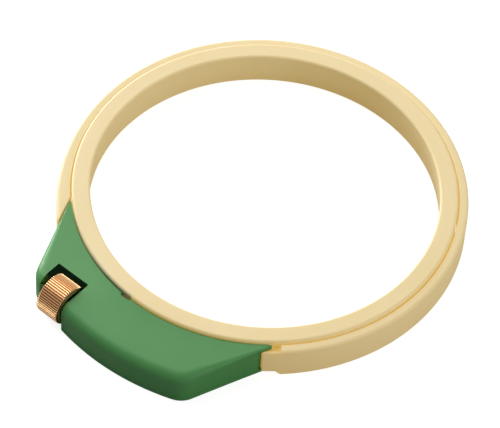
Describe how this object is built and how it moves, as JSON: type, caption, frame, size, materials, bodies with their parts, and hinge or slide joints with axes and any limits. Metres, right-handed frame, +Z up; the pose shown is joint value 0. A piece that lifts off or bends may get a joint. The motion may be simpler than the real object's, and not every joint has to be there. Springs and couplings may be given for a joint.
{
  "type": "embroidery hoop",
  "caption": "Round hoop of two nested plastic rings; a ribbed brass thumb knob in a moulded housing draws the split outer ring tight round the plain inner ring.",
  "frame": {"origin": "centre of the rings on the plane that the hoop rests on", "axes": "+Z up along the rings' axis, -Y towards the housing with the knob, +X to the right seen from above with the housing in front"},
  "size_m": [0.14, 0.1569, 0.0148],
  "materials": {
    "ring_plastic": "cream moulded plastic, satin",
    "housing_plastic": "green moulded plastic, satin",
    "knob_brass": "turned brass with straight ridges",
    "steel": "bright zinc-plated steel"
  },
  "bodies": {
    "housing": {"housing_cover": "housing_plastic", "housing_base": "housing_plastic", "cover_screws": "steel", "outer_ring_fixed_end": "ring_plastic"},
    "inner_ring": {"inner_ring": "ring_plastic"},
    "ring_back": {"outer_ring_back": "ring_plastic"},
    "ring_moving_end": {"outer_ring_moving_end": "ring_plastic"},
    "knob": {"adjuster_knob": "knob_brass", "adjuster_screw": "steel", "thrust_washer": "steel", "retaining_clip": "steel"},
    "nut": {"barrel_nut": "knob_brass"}
  },
  "joints": [
    {"name": "knob_turn", "type": "hinge", "parent": "housing", "child": "knob", "pos_m": [-0.02125, -0.0796, 0.0075], "axis": [-1, 0, 0], "range_deg": [0, 2520]},
    {"name": "nut_travel", "type": "slide", "parent": "housing", "child": "nut", "axis": [1, 0, 0], "range_m": [0, 0.00351]},
    {"name": "ring_flex_left", "type": "hinge", "parent": "housing", "child": "ring_back", "pos_m": [-0.07, 0, 0.0061], "axis": [0, 0, 1], "range_deg": [0, 1.27]},
    {"name": "ring_flex_right", "type": "hinge", "parent": "ring_back", "child": "ring_moving_end", "pos_m": [0.07, 0, 0.0061], "axis": [0, 0, 1], "range_deg": [0, 1.27]},
    {"name": "inner_ring_lift", "type": "slide", "parent": "housing", "child": "inner_ring", "axis": [0, 0, 1], "range_m": [0, 0.03]}
  ],
  "couplings": [
    {"joint": "nut_travel", "follows": "knob_turn", "m_per_rad": 0.000079577},
    {"joint": "ring_flex_left", "follows": "knob_turn", "ratio": 0.00049986},
    {"joint": "ring_flex_right", "follows": "knob_turn", "ratio": 0.00049986}
  ]
}
